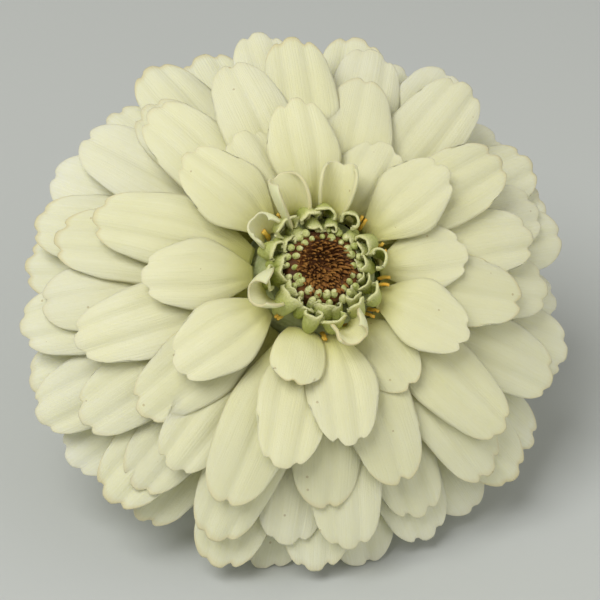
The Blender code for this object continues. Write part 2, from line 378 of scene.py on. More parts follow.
def finish_material(tree, shader, colour, height, depth, strength=0.5):
    tree.links.new(colour, shader.inputs["Base Color"])
    bump = new_node(tree, "ShaderNodeBump", Height=height, Distance=depth, Strength=strength)
    tree.links.new(bump.outputs[0], shader.inputs["Normal"])


def vary_roughness(tree, shader, value, low, high):
    tree.links.new(smooth_step(tree, value, 0.0, 1.0, low, high), shader.inputs["Roughness"])


def petal_material(petals):
    material, tree, shader = start_material("petal_cream", 0.55, subsurface=0.3, sheen=0.12)
    blade = place_group(tree, "Blade pattern", Veins=44.0, Margin_Width=0.035)
    skin = place_group(tree, "Skin grain", Grain_Scale=5200.0, Mottle_Scale=190.0)
    specks = place_group(tree, "Specks")
    tint, inner, under = (surface_value(tree, name) for name in ("tint", "inner", "under"))
    along = blade.outputs["Along"]
    # The claw colour over the lower half of a petal: its own yellow-green, partly painted shade under the petals
    # above.
    colour = blend_colours(tree, smooth_step(tree, along, 0.02, 0.5), petals.claw, petals.face)
    colour = blend_colours(tree, smooth_step(tree, along, 0.45, 1.0), colour, petals.tip)
    colour = blend_colours(tree, maths(tree, "MULTIPLY", inner, 0.42), colour, petals.inner)
    colour = blend_colours(tree, maths(tree, "MULTIPLY", under, 0.6), colour, petals.under)
    shade = maths(tree, "MULTIPLY", blade.outputs["Veins"], 0.16)
    colour = blend_colours(tree, shade, colour, petals.inner)
    colour = blend_colours(tree, maths(tree, "MULTIPLY", skin.outputs["Mottle"], 0.14), colour, petals.inner)
    colour = blend_colours(tree, smooth_step(tree, tint, 0.0, 1.0, 0.0, 0.1), colour, petals.claw)
    edge = maths(tree, "MULTIPLY", blade.outputs["Margin"], smooth_step(tree, tint, 0.2, 1.0, 0.15, 0.75))
    colour = blend_colours(tree, edge, colour, petals.margin)
    colour = blend_colours(tree, maths(tree, "MULTIPLY", specks.outputs[0], 0.45), colour, (0.36, 0.24, 0.08))
    vary_roughness(tree, shader, blade.outputs["Veins"], 0.48, 0.62)
    height = maths(tree, "ADD", blade.outputs["Veins"], maths(tree, "MULTIPLY", skin.outputs["Grain"], 0.35))
    finish_material(tree, shader, colour, height, 0.05 * MM)
    return material


def young_material(centre):
    material, tree, shader = start_material("young_green", 0.6, subsurface=0.2)
    blade = place_group(tree, "Blade pattern", Veins=14.0, Margin_Width=0.26)
    skin = place_group(tree, "Skin grain", Grain_Scale=3600.0, Mottle_Scale=600.0)
    tint = surface_value(tree, "tint")
    pale = maths(tree, "MAXIMUM", blade.outputs["Margin"],
                 smooth_step(tree, blade.outputs["Along"], 0.5, 1.0, 0.0, 0.4))
    grain = maths(tree, "MULTIPLY", skin.outputs["Grain"], 0.2)
    colour = blend_colours(tree, maths(tree, "ADD", maths(tree, "MULTIPLY", pale, 0.85), grain, clamp=True),
                           centre.leaf, centre.rim)
    colour = blend_colours(tree, maths(tree, "MULTIPLY", tint, 0.3), colour, centre.rim)
    colour = blend_colours(tree, maths(tree, "MULTIPLY", skin.outputs["Mottle"], 0.22), colour, centre.bud)
    vary_roughness(tree, shader, skin.outputs["Grain"], 0.5, 0.72)
    height = maths(tree, "ADD", skin.outputs["Grain"], maths(tree, "MULTIPLY", blade.outputs["Veins"], 0.6))
    finish_material(tree, shader, colour, height, 0.09 * MM, strength=0.8)
    return material


def grained_material(name, first, second, roughness, grain_scale, depth, subsurface=0.0):
    """Two colours mixed by mottling and grain, for buds, scales, styles, hairs and the cushion."""
    material, tree, shader = start_material(name, roughness, subsurface=subsurface)
    skin = place_group(tree, "Skin grain", Grain_Scale=grain_scale, Mottle_Scale=grain_scale / 5)
    factor = maths(tree, "ADD", maths(tree, "MULTIPLY", skin.outputs["Mottle"], 0.6),
                   maths(tree, "MULTIPLY", skin.outputs["Grain"], 0.4), clamp=True)
    colour = blend_colours(tree, factor, first, second)
    vary_roughness(tree, shader, skin.outputs["Grain"], roughness - 0.08, roughness + 0.08)
    finish_material(tree, shader, colour, skin.outputs["Grain"], depth)
    return material


def bract_material(greens):
    material, tree, shader = start_material("bract_green", 0.6, subsurface=0.1)
    blade = place_group(tree, "Blade pattern", Veins=22.0, Margin_Width=0.22)
    skin = place_group(tree, "Skin grain", Grain_Scale=3000.0, Mottle_Scale=400.0)
    colour = blend_colours(tree, maths(tree, "MULTIPLY", blade.outputs["Veins"], 0.4), greens.bract,
                           greens.stem_rib)
    colour = blend_colours(tree, maths(tree, "MULTIPLY", skin.outputs["Mottle"], 0.35), colour, greens.stem)
    colour = blend_colours(tree, smooth_step(tree, blade.outputs["Margin"], 0.15, 0.6), colour,
                           greens.bract_margin)
    vary_roughness(tree, shader, skin.outputs["Mottle"], 0.5, 0.68)
    height = maths(tree, "ADD", blade.outputs["Veins"], maths(tree, "MULTIPLY", skin.outputs["Grain"], 0.5))
    finish_material(tree, shader, colour, height, 0.08 * MM)
    return material


def stem_material(greens):
    material, tree, shader = start_material("stem_green", 0.55, subsurface=0.1)
    blade = place_group(tree, "Blade pattern", Veins=60.0, Margin_Width=0.1)
    skin = place_group(tree, "Skin grain", Grain_Scale=2600.0, Mottle_Scale=140.0)
    rib, cut = surface_value(tree, "rib"), surface_value(tree, "cut")
    colour = blend_colours(tree, rib, greens.stem, greens.stem_rib)
    colour = blend_colours(tree, maths(tree, "MULTIPLY", skin.outputs["Mottle"], 0.3), colour, greens.bract)
    colour = blend_colours(tree, maths(tree, "MULTIPLY", blade.outputs["Veins"], 0.25), colour,
                           greens.stem_rib)
    colour = blend_colours(tree, cut, colour, greens.pith)
    vary_roughness(tree, shader, skin.outputs["Grain"], 0.45, 0.66)
    height = maths(tree, "ADD", blade.outputs["Veins"], maths(tree, "MULTIPLY", skin.outputs["Grain"], 0.5))
    finish_material(tree, shader, colour, height, 0.06 * MM)
    return material


# ---- thin solids ---------------------------------------------------------------------------------

def rest_on_floor(points):
    """Bend upwards whatever comes within BEND_HEIGHT of the floor, so that nothing dips below it."""
    low = points[:, 2] < BEND_HEIGHT
    points[low, 2] = BEND_HEIGHT * np.exp(points[low, 2] / BEND_HEIGHT - 1)
    return points


class Sheets:
    """Collects thin closed solids, in the flower's frame, into one mesh."""

    def __init__(self):
        self.points, self.faces, self.uvs, self.values = [], [], [], []
        self.count = 0

    def add(self, top, thickness, across, along, **values):
        """A grid of points (rows along, columns across) and a copy thickness below it, closed round the rim."""
        normal = np.cross(np.gradient(top, axis=1), np.gradient(top, axis=0))
        normal /= np.maximum(np.linalg.norm(normal, axis=2, keepdims=True), 1e-12)
        bottom = top - normal * thickness[..., None]
        rows, columns = top.shape[:2]
        index = np.arange(rows * columns).reshape(rows, columns)
        upper = np.stack([index[:-1, :-1], index[:-1, 1:], index[1:, 1:], index[1:, :-1]],
                         axis=-1).reshape(-1, 4)
        lower = upper[:, ::-1] + rows * columns
        rim = np.concatenate([index[0, :], index[1:, -1], index[-1, -2::-1], index[-2:0:-1, 0]])
        after = np.roll(rim, -1)
        side = np.stack([rim, rim + rows * columns, after + rows * columns, after], axis=-1)
        self.points.append(np.concatenate([top.reshape(-1, 3), bottom.reshape(-1, 3)]))
        self.faces.append(np.concatenate([upper, lower, side]) + self.count)
        place = np.stack([(across + 1) / 2, along], axis=-1).reshape(-1, 2)
        self.uvs.append(np.concatenate([place, place]))
        under = np.concatenate([np.zeros(rows * columns), np.ones(rows * columns)])
        spread = {name: np.full(2 * rows * columns, float(value)) for name, value in values.items()}
        self.values.append({"under": under, **spread})
        self.count += 2 * rows * columns

    def build(self, name, material):
        points = rest_on_floor(to_world(np.concatenate(self.points)))
        faces = np.concatenate(self.faces)
        mesh = bpy.data.meshes.new(name)
        mesh.from_pydata(points.tolist(), [], faces.tolist())
        uv_layer = mesh.uv_layers.new(name=UV_NAME)
        uv_layer.data.foreach_set("uv", np.concatenate(self.uvs)[faces.ravel()].ravel())
        for key in self.values[0]:
            attribute = mesh.attributes.new(key, "FLOAT", "POINT")
            attribute.data.foreach_set("value", np.concatenate([v[key] for v in self.values]))
        mesh.shade_smooth()
        return add_piece(name, mesh, material)


def add_piece(name, mesh, material):
    piece = bpy.data.objects.new(name, mesh)
    bpy.context.scene.collection.objects.link(piece)
    mesh.materials.clear()
    mesh.materials.append(material)
    return piece


def midline(claw, tip, rise, share):
    """(radius, height, direction) at shares of the curve leaving claw at the angle rise, ending at tip."""
    lead = KNEE * math.hypot(tip[0] - claw[0], tip[1] - claw[1])
    knee = (claw[0] + lead * math.cos(rise), claw[1] + lead * math.sin(rise))
    start = [a + (b - a) * share for a, b in zip(claw, knee)]
    end = [a + (b - a) * share for a, b in zip(knee, tip)]
    radius, height = (a + (b - a) * share for a, b in zip(start, end))
    return radius, height, np.arctan2(end[1] - start[1], end[0] - start[0])


def claw_rise(floret):
    return math.radians(RISE_AT_BASE + RISE_PER_METRE * (floret.claw[1] - CLAW_BASE))


def raised(radius, height, heading, lift):
    """Radii and heights moved off the midline by lift, square to its heading."""
    return radius - lift * np.sin(heading), height + lift * np.cos(heading)


def turned(radius, sideways, height, azimuth):
    """Points at a radius along the azimuth, a distance to its left and a height, in the flower's frame."""
    cos_a, sin_a = math.cos(azimuth), math.sin(azimuth)
    return np.stack([radius * cos_a - sideways * sin_a, radius * sin_a + sideways * cos_a, height], axis=-1)


def fade(value, start, end):
    """A smooth step from 0 at start to 1 at end."""
    share = np.clip((value - start) / (end - start), 0.0, 1.0)
    return share * share * (3 - 2 * share)


def blade_grid(columns, rows, crowding=1.35):
    """(across, along) grids whose rows crowd towards the tip."""
    along = 1 - (1 - np.linspace(0.0, 1.0, rows)) ** crowding
    return np.meshgrid(np.linspace(-1.0, 1.0, columns), along)


def blade_outline(along, claw_share):
    """Half-width against the widest: a narrow claw, then a broad blade that narrows again at its round tip."""
    swell = fade(along, -0.12, 0.66) ** 0.9
    return (claw_share + (1 - claw_share) * swell) * (1 - 0.12 * along**6)


def add_petal(sheets, floret, width, petals, inner, rng):
    """One opened petal: arched across, with grooves that end in notches at its tip."""
    across, along = blade_grid(25, 40)
    length = math.hypot(floret.tip[0] - floret.claw[0], floret.tip[1] - floret.claw[1])
    grooves = (rng.uniform(-0.08, 0.08),) if rng.random() < 0.28 else (rng.uniform(-0.4, -0.28),
                                                                       rng.uniform(0.28, 0.4))
    corner = 0.5 * width / length
    share = along * (1 - corner * (1 - np.sqrt(1 - 0.99 * np.abs(across) ** 2.3)) * along**2.5)
    lean = rng.uniform(-0.5, 0.5) * petals.notch
    share += lean / length * across * along**8
    for groove in grooves:
        depth = petals.notch * rng.uniform(0.5, 1.25)
        share -= depth / length * np.exp(-((across - groove) / 0.1) ** 2) * along**16
    radius, height, heading = midline(floret.claw, floret.tip, claw_rise(floret), share)
    half = 0.5 * width * blade_outline(along, PETAL_CLAW_SHARE)
    half *= 1 + 0.02 * np.sin(along * rng.uniform(5, 11) + rng.uniform(0, 6)) * fade(along, 0.2, 0.5)
    arch = rng.uniform(0.035, 0.07) * width
    lift = -arch * across**2 * fade(along, 0.0, 0.5)
    lift -= rng.uniform(0.008, 0.02) * width * np.abs(across) ** 6 * fade(along, 0.2, 0.6)
    furrow = sum(np.exp(-((across - groove) / 0.15) ** 2) for groove in grooves)
    lift -= petals.groove * rng.uniform(0.75, 1.2) * furrow * fade(along, 0.06, 0.35)
    lift += rng.uniform(-0.5, 0.35) * MM * fade(along, 0.7, 1.0)
    lift += 0.09 * MM * np.sin(7 * along + 3 * across + rng.uniform(0, 6)) * fade(along, 0.3, 0.7)
    sideways = -across * half + rng.uniform(-0.6, 0.6) * MM * along**2
    lift += sideways * math.tan(math.radians(rng.uniform(-4.0, 4.0))) * fade(along, 0.2, 0.8)
    radius, height = raised(radius, height, heading, lift)
    edge = np.maximum(np.abs(across) ** 4, fade(along, 0.93, 1.0))
    thickness = petals.thickness * (1 - 0.55 * edge)
    sheets.add(turned(radius, sideways, height, floret.azimuth), thickness, across, along,
               tint=rng.random(), inner=inner)


def add_rolled(sheets, floret, rise, width, rolls, wall, rng, inner=0.0, skew=0.0, columns=19, rows=18,
               flare=0.0):
    """One young floret, its blade rolled towards the flower's axis by rolls[0] radians at its claw to rolls[1] at
    its mouth, which may flare out."""
    across, along = blade_grid(columns, rows, crowding=1.2)
    share = along * (1 - 0.12 * across**2 * along**4)
    share -= 0.05 * np.exp(-(across / 0.2) ** 2) * along**8
    radius, height, heading = midline(floret.claw, floret.tip, rise, share)
    half = 0.5 * width * (0.45 + 0.55 * np.sin(math.pi * (0.05 + 0.6 * along))) * (1 - 0.2 * along**8)
    roll = rolls[0] + (rolls[1] - rolls[0]) * along
    curl = (across + skew * along) * roll / 2
    bend = half / (roll / 2)
    sideways = -bend * np.sin(curl)
    lift = bend * (1 - np.cos(curl))
    out = flare * half * across**2 * fade(along, 0.7, 1.0)
    sideways -= out * np.sign(across)
    lift -= 0.6 * out
    lift = lift + 0.05 * MM * np.sin(5 * across + 9 * along + rng.uniform(0, 6))
    radius, height = raised(radius, height, heading, lift)
    swollen = wall * (0.8 + 0.5 * np.abs(across) ** 3)
    sheets.add(turned(radius, sideways, height, floret.azimuth), swollen, across, along,
               tint=rng.random(), inner=inner)


def add_tube(bm, points, thickness, sides=8, taper=1.0):
    """A closed round tube through points, its radius going from thickness to taper times thickness."""
    rings = []
    for index, point in enumerate(points):
        ahead = points[min(index + 1, len(points) - 1)] - points[max(index - 1, 0)]
        turn = Vector(ahead).to_track_quat("Z", "Y")
        radius = thickness * (1 + (taper - 1) * index / (len(points) - 1))
        rings.append([bm.verts.new(Vector(point) + turn @ Vector((
            radius * math.cos(2 * math.pi * k / sides), radius * math.sin(2 * math.pi * k / sides), 0.0)))
            for k in range(sides)])
    for ring, above in zip(rings, rings[1:]):
        for k in range(sides):
            bm.faces.new((ring[k], ring[(k + 1) % sides], above[(k + 1) % sides], above[k]))
    bm.faces.new(rings[0][::-1])
    bm.faces.new(rings[-1])


# ---- geometry nodes ------------------------------------------------------------------------------

def build_scatter_tree():
    """Instances of one shape on the points of a mesh, turned and sized by the points' own attributes."""
    tree, given, result = new_group(
        "Scatter on points", "GeometryNodeTree",
        (("Geometry", "NodeSocketGeometry", None), ("Shape", "NodeSocketObject", None),
         ("Material", "NodeSocketMaterial", None), ("Size", "NodeSocketFloat", 1.0),
         ("Size Variation", "NodeSocketFloat", 0.2), ("Seed", "NodeSocketInt", 3)),
        (("Geometry", "NodeSocketGeometry"),))
    shape = new_node(tree, "GeometryNodeObjectInfo", Object=given.outputs["Shape"])
    turn = new_node(tree, "GeometryNodeInputNamedAttribute", {"data_type": "FLOAT_VECTOR"}, Name="turn")
    spread = new_node(tree, "FunctionNodeRandomValue", {"data_type": "FLOAT"}, Seed=given.outputs["Seed"])
    low = maths(tree, "SUBTRACT", given.outputs["Size"], given.outputs["Size Variation"])
    high = maths(tree, "ADD", given.outputs["Size"], given.outputs["Size Variation"])
    for socket, value in ((spread.inputs[2], low), (spread.inputs[3], high)):
        tree.links.new(value, socket)
    placed = new_node(tree, "GeometryNodeInstanceOnPoints", Points=given.outputs["Geometry"],
                      Instance=shape.outputs["Geometry"], Rotation=turn.outputs["Attribute"])
    tree.links.new(spread.outputs[1], placed.inputs["Scale"])
    real = new_node(tree, "GeometryNodeRealizeInstances", Geometry=placed.outputs[0])
    painted = new_node(tree, "GeometryNodeSetMaterial", Geometry=real.outputs[0],
                       Material=given.outputs["Material"])
    tree.links.new(painted.outputs[0], result.inputs[0])


def scatter(name, places, directions, shape, material, size=1.0, variation=0.2, seed=3):
    """A plain mesh with shape standing at each place of the flower's frame along its direction."""
    points = to_world(np.array([tuple(p) for p in places]))
    mesh = bpy.data.meshes.new(name)
    mesh.from_pydata(points.tolist(), [], [])
    turns = []
    for direction in directions:
        heading = Vector(FLOWER_TURN @ np.array(direction)).normalized()
        turns += list(heading.to_track_quat("Z", "Y").to_euler())
    attribute = mesh.attributes.new("turn", "FLOAT_VECTOR", "POINT")
    attribute.data.foreach_set("vector", turns)
    seeds = bpy.data.objects.new(name + "_points", mesh)
    bpy.context.scene.collection.objects.link(seeds)
    modifier = seeds.modifiers.new("scatter", "NODES")
    modifier.node_group = bpy.data.node_groups["Scatter on points"]
    sockets = {item.name: item.identifier for item in modifier.node_group.interface.items_tree
               if item.in_out == "INPUT"}
    for title, value in (("Shape", shape), ("Material", material), ("Size", size),
                         ("Size Variation", variation), ("Seed", seed)):
        modifier[sockets[title]] = value
    graph = bpy.context.evaluated_depsgraph_get()
    result = bpy.data.meshes.new_from_object(seeds.evaluated_get(graph), depsgraph=graph)
    bpy.data.objects.remove(seeds)
    bpy.data.objects.remove(shape)
    result.name = name
    result.shade_smooth()
    return add_piece(name, result, material)


def lone_shape(name, bm):
    """A shape to be repeated, kept out of the render."""
    mesh = bpy.data.meshes.new(name)
    bmesh.ops.recalc_face_normals(bm, faces=bm.faces)
    bm.to_mesh(mesh)
    bm.free()
    shape = bpy.data.objects.new(name, mesh)
    bpy.context.scene.collection.objects.link(shape)
    return shape


def bud_shape():
    """A small plump bud, its top closed in a blunt point."""
    bm = bmesh.new()
    bmesh.ops.create_uvsphere(bm, u_segments=12, v_segments=9, radius=1.0)
    for vertex in bm.verts:
        height = vertex.co.z
        waist = 0.55 * (1 - 0.25 * max(0.0, height) ** 2)
        lobes = 1 + 0.1 * max(0.0, height) * math.cos(5 * math.atan2(vertex.co.y, vertex.co.x))
        vertex.co.x *= waist * lobes
        vertex.co.y *= waist * lobes
        if height > 0.95:
            vertex.co.z -= 0.18
    return lone_shape("bud", bm)


def scale_shape():
    """A narrow papery scale, keeled and pointed, bending towards its tip."""
    bm = bmesh.new()
    levels = ((0.0, 0.22), (0.35, 0.3), (0.7, 0.2), (0.9, 0.08))
    rows = []
    for share, half in levels:
        forward = -0.3 * share**2
        rows.append([bm.verts.new((side * half, forward + back, share))
                     for side, back in ((-1.0, 0.0), (0.0, 0.12), (1.0, 0.0), (0.0, -0.05))])
    point = bm.verts.new((0.0, -0.38, 1.1))
    for row, above in zip(rows, rows[1:]):
        for k in range(4):
            bm.faces.new((row[k], row[(k + 1) % 4], above[(k + 1) % 4], above[k]))
    for k in range(4):
        bm.faces.new((rows[-1][k], rows[-1][(k + 1) % 4], point))
    bm.faces.new(rows[0][::-1])
    return lone_shape("scale", bm)


def hair_shape():
    """A single tapering hair."""
    bm = bmesh.new()
    bmesh.ops.create_cone(bm, cap_ends=True, segments=4, radius1=0.05, radius2=0.01, depth=1.0,
                          matrix=Matrix.Translation((0.0, 0.0, 0.5)))
    return lone_shape("hair", bm)


# ---- operators -----------------------------------------------------------------------------------

def finish_piece(piece, slot, *nodes):
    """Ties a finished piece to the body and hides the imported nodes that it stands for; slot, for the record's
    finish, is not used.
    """
    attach(piece, BODY)
    if nodes:
        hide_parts(*nodes)


def repaint(node, material):
    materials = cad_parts[node].data.materials
    materials.clear()
    materials.append(material)


class ZINNIA_OT_materials(bpy.types.Operator):
    """Build the shared node groups that the materials are made from"""
    bl_idname = "zinnia.materials"
    bl_label = "Node groups"

    def execute(self, context):
        build_blade_pattern()
        build_skin_grain()
        build_specks()
        build_scatter_tree()
        return {"FINISHED"}


class ZINNIA_OT_petals(bpy.types.Operator):
    """Grow the five rings of opened petals"""
    bl_idname = "zinnia.petals"
    bl_label = "Petals"

    def execute(self, context):
        petals = context.scene.zinnia_petals
        material = petal_material(petals)
        rng = random.Random(11)
        for number, ring in enumerate(RINGS):
            inner = number / (len(RINGS) - 1)
            width = petals.width + (petals.inner_width - petals.width) * inner
            sheets = Sheets()
            nodes = ring_nodes(ring)
            for node in nodes:
                for floret in measure_florets(node):
                    add_petal(sheets, floret, width, petals, inner, rng)
            piece = sheets.build("petals_" + ring[-1], material)
            finish_piece(piece, "ray", *nodes)
        return {"FINISHED"}


# How each small inner petal is rolled: radians at its claw and mouth, its flat width against CURLED_WIDTH, how far
# the roll turns to one side, and how far the mouth flares out.
CURLED = {
    "ray_f_01": (3.0, 4.41, 1.5, 0.25, 0.0),
    "ray_f_02": (-0.6, -0.99, 1.35, 0.0, 0.0),
    "ray_f_03": (3.0, 4.61, 1.3, -0.3, 0.2),
    "ray_f_04": (4.4, 3.61, 1.45, 0.15, 0.0),
    "ray_f_05": (4.6, 3.81, 1.5, -0.2, 0.0),
    "ray_f_06": (3.4, 4.41, 1.3, 0.2, 0.1),
}
CURLED_WIDTH = 5.6 * MM


class ZINNIA_OT_curled(bpy.types.Operator):
    """Grow the six small, half-curled petals round the centre"""
    bl_idname = "zinnia.curled"
    bl_label = "Curled petals"

    def execute(self, context):
        centre = context.scene.zinnia_centre
        material = bpy.data.materials["petal_cream"]
        rng = random.Random(5)
        sheets = Sheets()
        for node, (claw_roll, mouth_roll, wide, skew, flare) in CURLED.items():
            floret = measure_florets(node)[0]
            add_rolled(sheets, floret, claw_rise(floret), CURLED_WIDTH * wide, (claw_roll, mouth_roll),
                       centre.wall,
                       rng, inner=1.0, skew=skew, columns=25, rows=26, flare=flare)
        piece = sheets.build("petals_f", material)
        finish_piece(piece, "ray", *CURLED)
        return {"FINISHED"}


# Ranks of young florets from outside in: how many, where they root and where their mouths stand against the
# packed crown's claw, how high against its tip, and their size.
YOUNG_RANKS = (
    (13, 2.1 * MM, 0.5 * MM, 0.0 * MM, 1.0),
    (15, 0.8 * MM, -1.0 * MM, -1.0 * MM, 0.8),
    (16, -0.2 * MM, -1.6 * MM, -2.0 * MM, 0.55),
)


class ZINNIA_OT_young(bpy.types.Operator):
    """Grow the crown of rolled young florets"""
    bl_idname = "zinnia.young"
    bl_label = "Young florets"

    def execute(self, context):
        centre = context.scene.zinnia_centre
        ring = measure_ring("young_florets")
        claw, tip = ring[0].claw, ring[0].tip
        rng = random.Random(23)
        sheets = Sheets()
        material = young_material(centre)
        for count, root, mouth, top, size in YOUNG_RANKS:
            for index in range(count):
                azimuth = 2 * math.pi * (index + rng.uniform(-0.25, 0.25)) / count
                start = (claw[0] + root, claw[1] - 0.6 * MM)
                end = (claw[0] + mouth + rng.uniform(-0.8, 0.9) * MM,
                       tip[1] + top + rng.uniform(-0.9, 0.5) * MM)
                rolls = (rng.uniform(4.0, 5.0), rng.uniform(3.6, 5.8))
                add_rolled(sheets, Floret(azimuth, start, end), math.radians(rng.uniform(75, 100)),
                           centre.width * size * rng.uniform(0.85, 1.15), rolls, centre.wall * size, rng,
                           skew=rng.uniform(-0.3, 0.3), flare=rng.uniform(0.2, 0.6))
        piece = sheets.build("young_scrolls", material)
        finish_piece(piece, "young", "young_florets")
        return {"FINISHED"}


GOLDEN_ANGLE = math.radians(137.508)
SCALE_PATCH = 0.66  # of the disc's radius, which the papery scales cover
DISC_WELL = 1.6 * MM  # how far the scales sink towards the middle


class ZINNIA_OT_disc(bpy.types.Operator):
    """Set the small buds and the papery scales on the disc"""
    bl_idname = "zinnia.disc"
    bl_label = "Disc"

    def execute(self, context):
        centre = context.scene.zinnia_centre
        points, radius, _ = in_flower("disc_florets")
        rim, top = radius.max(), points[:, 2].max()
        rng = random.Random(31)
        # The cushion under the scales is mottled between painted shade (the near-black pit) and the scales' brown.
        cushion = grained_material("disc_cushion_shade", centre.pit, centre.scale, 0.8, 2500.0, 0.2 * MM)
        repaint("disc_florets", cushion)
        places, directions = [], []
        for lap in range(2):
            for index in range(centre.buds - 2 * lap):
                turn = 2 * math.pi * (index + rng.uniform(-0.2, 0.2)) / (centre.buds - 2 * lap)
                out = rim * (0.93 - 0.2 * lap)
                places.append((out * math.cos(turn), out * math.sin(turn), top - (0.5 - 0.4 * lap) * MM))
                directions.append((-0.4 * math.cos(turn), -0.4 * math.sin(turn), 1.0))
        bud = grained_material("bud_green", centre.bud, centre.rim, 0.55, 3000.0, 0.08 * MM, subsurface=0.2)
        buds = scatter("disc_buds", places, directions, bud_shape(), bud, size=0.85 * MM, variation=0.2 * MM)
        finish_piece(buds, "disc")
        places, directions = [], []
        for index in range(centre.scales):
            turn = index * GOLDEN_ANGLE
            out = rim * SCALE_PATCH * math.sqrt((index + 0.5) / centre.scales)
            sunk = DISC_WELL * (1 - fade(out / (rim * SCALE_PATCH), 0.1, 0.8))
            places.append((out * math.cos(turn), out * math.sin(turn), top - 0.7 * MM - sunk))
            lean = 0.35 * out / rim + rng.uniform(-0.2, 0.2)
            directions.append((lean * math.cos(turn) + rng.uniform(-0.12, 0.12),
                               lean * math.sin(turn) + rng.uniform(-0.12, 0.12), 1.0))
        scale = grained_material("scale_brown", centre.scale, (0.40, 0.19, 0.035), 0.75, 3500.0, 0.1 * MM)
        scales = scatter("disc_scales", places, directions, scale_shape(), scale, size=1.35 * MM,
                         variation=0.45 * MM)
        finish_piece(scales, "disc")
        return {"FINISHED"}


STYLES_PER_PETAL = 2
STYLE_RADIUS = 0.26 * MM
STYLE_STEPS = 6


class ZINNIA_OT_styles(bpy.types.Operator):
    """Set the yellow styles between the claws of the inner petals"""
    bl_idname = "zinnia.styles"
    bl_label = "Styles"

    def execute(self, context):
        centre = context.scene.zinnia_centre
        rng = random.Random(41)
        bm = bmesh.new()
        for node in ring_nodes("ray_e"):
            floret = measure_florets(node)[0]
            for _ in range(STYLES_PER_PETAL):
                azimuth = floret.azimuth + math.radians(rng.uniform(8, 17))
                start = floret.claw[0] - 0.4 * MM
                height = floret.claw[1] + 1.0 * MM
                path = []
                for step in range(STYLE_STEPS + 1):
                    share = step / STYLE_STEPS
                    out = start + (0.5 + 0.7 * share) * share * MM
                    path.append(to_world(turned(out, 0.5 * MM * share * rng.uniform(-0.3, 0.3),
                                                height + 2.2 * MM * share - 0.6 * MM * share**2, azimuth)))
                add_tube(bm, path, STYLE_RADIUS, sides=6, taper=0.8)
        mesh = bpy.data.meshes.new("styles")
        bmesh.ops.recalc_face_normals(bm, faces=bm.faces)
        bm.to_mesh(mesh)
        bm.free()
        mesh.shade_smooth()
        gold = grained_material("style_gold", centre.style, (0.75, 0.55, 0.10), 0.6, 4000.0, 0.05 * MM)
        finish_piece(add_piece("styles", mesh, gold), "disc")
        return {"FINISHED"}


class ZINNIA_OT_bracts(bpy.types.Operator):
    """Lay the three rows of bracts under the flower"""
    bl_idname = "zinnia.bracts"
    bl_label = "Bracts"

    def execute(self, context):
        greens = context.scene.zinnia_greens
        material = bract_material(greens)
        rng = random.Random(53)
        for row, (node, width, rise) in enumerate(zip(BRACT_ROWS, BRACT_WIDTHS, BRACT_RISES), start=1):
            sheets = Sheets()
            for floret in measure_ring(node):
                across, along = blade_grid(17, 20)
                share = along * (1 - 0.22 * (1 - np.sqrt(1 - 0.95 * across**2)) * along**3)
                radius, height, heading = midline(floret.claw, floret.tip, math.radians(rise), share)
                half = 0.5 * width * blade_outline(along, BRACT_CLAW_SHARE)
                lift = 0.05 * width * across**2 + 0.12 * MM * rng.uniform(0.5, 1.0) * np.sin(6 * along)
                lift = lift - 0.1 * MM * np.exp(-(across / 0.12) ** 2)
                radius, height = raised(radius, height, heading, lift)
                thickness = BRACT_THICKNESS * (1 - 0.6 * np.maximum(np.abs(across) ** 3, along**8))
                sheets.add(turned(radius, -across * half, height, floret.azimuth), thickness, across, along,
                           tint=rng.random())
            finish_piece(sheets.build(f"bracts_{row}", material), "bract", node)
        repaint("receptacle",
                grained_material("receptacle_green", (0.36, 0.42, 0.16), (0.55, 0.58, 0.30), 0.7,
                                               1800.0, 0.1 * MM))
        return {"FINISHED"}


def stem_places(count):
    """(place, direction) down the stem in the flower's frame, from under the bloom to the cut."""
    length = STEM_NECK + STEM_BEND_LENGTH + STEM_TAIL
    pace = length / (count - 1)
    place, result = np.array([0.0, 0.0, STEM_TOP]), []
    for index in range(count):
        gone = index * pace
        bow = STEM_BOW * math.sin(math.pi * gone / length) ** 2
        bent = min(1.0, max(0.0, (gone + pace / 2 - STEM_NECK) / STEM_BEND_LENGTH)) * STEM_BEND
        heading = np.array([0.0, math.sin(bent), -math.cos(bent)])
        result.append((place + (bow, 0.0, 0.0), heading))
        place = place + pace * heading
    return result


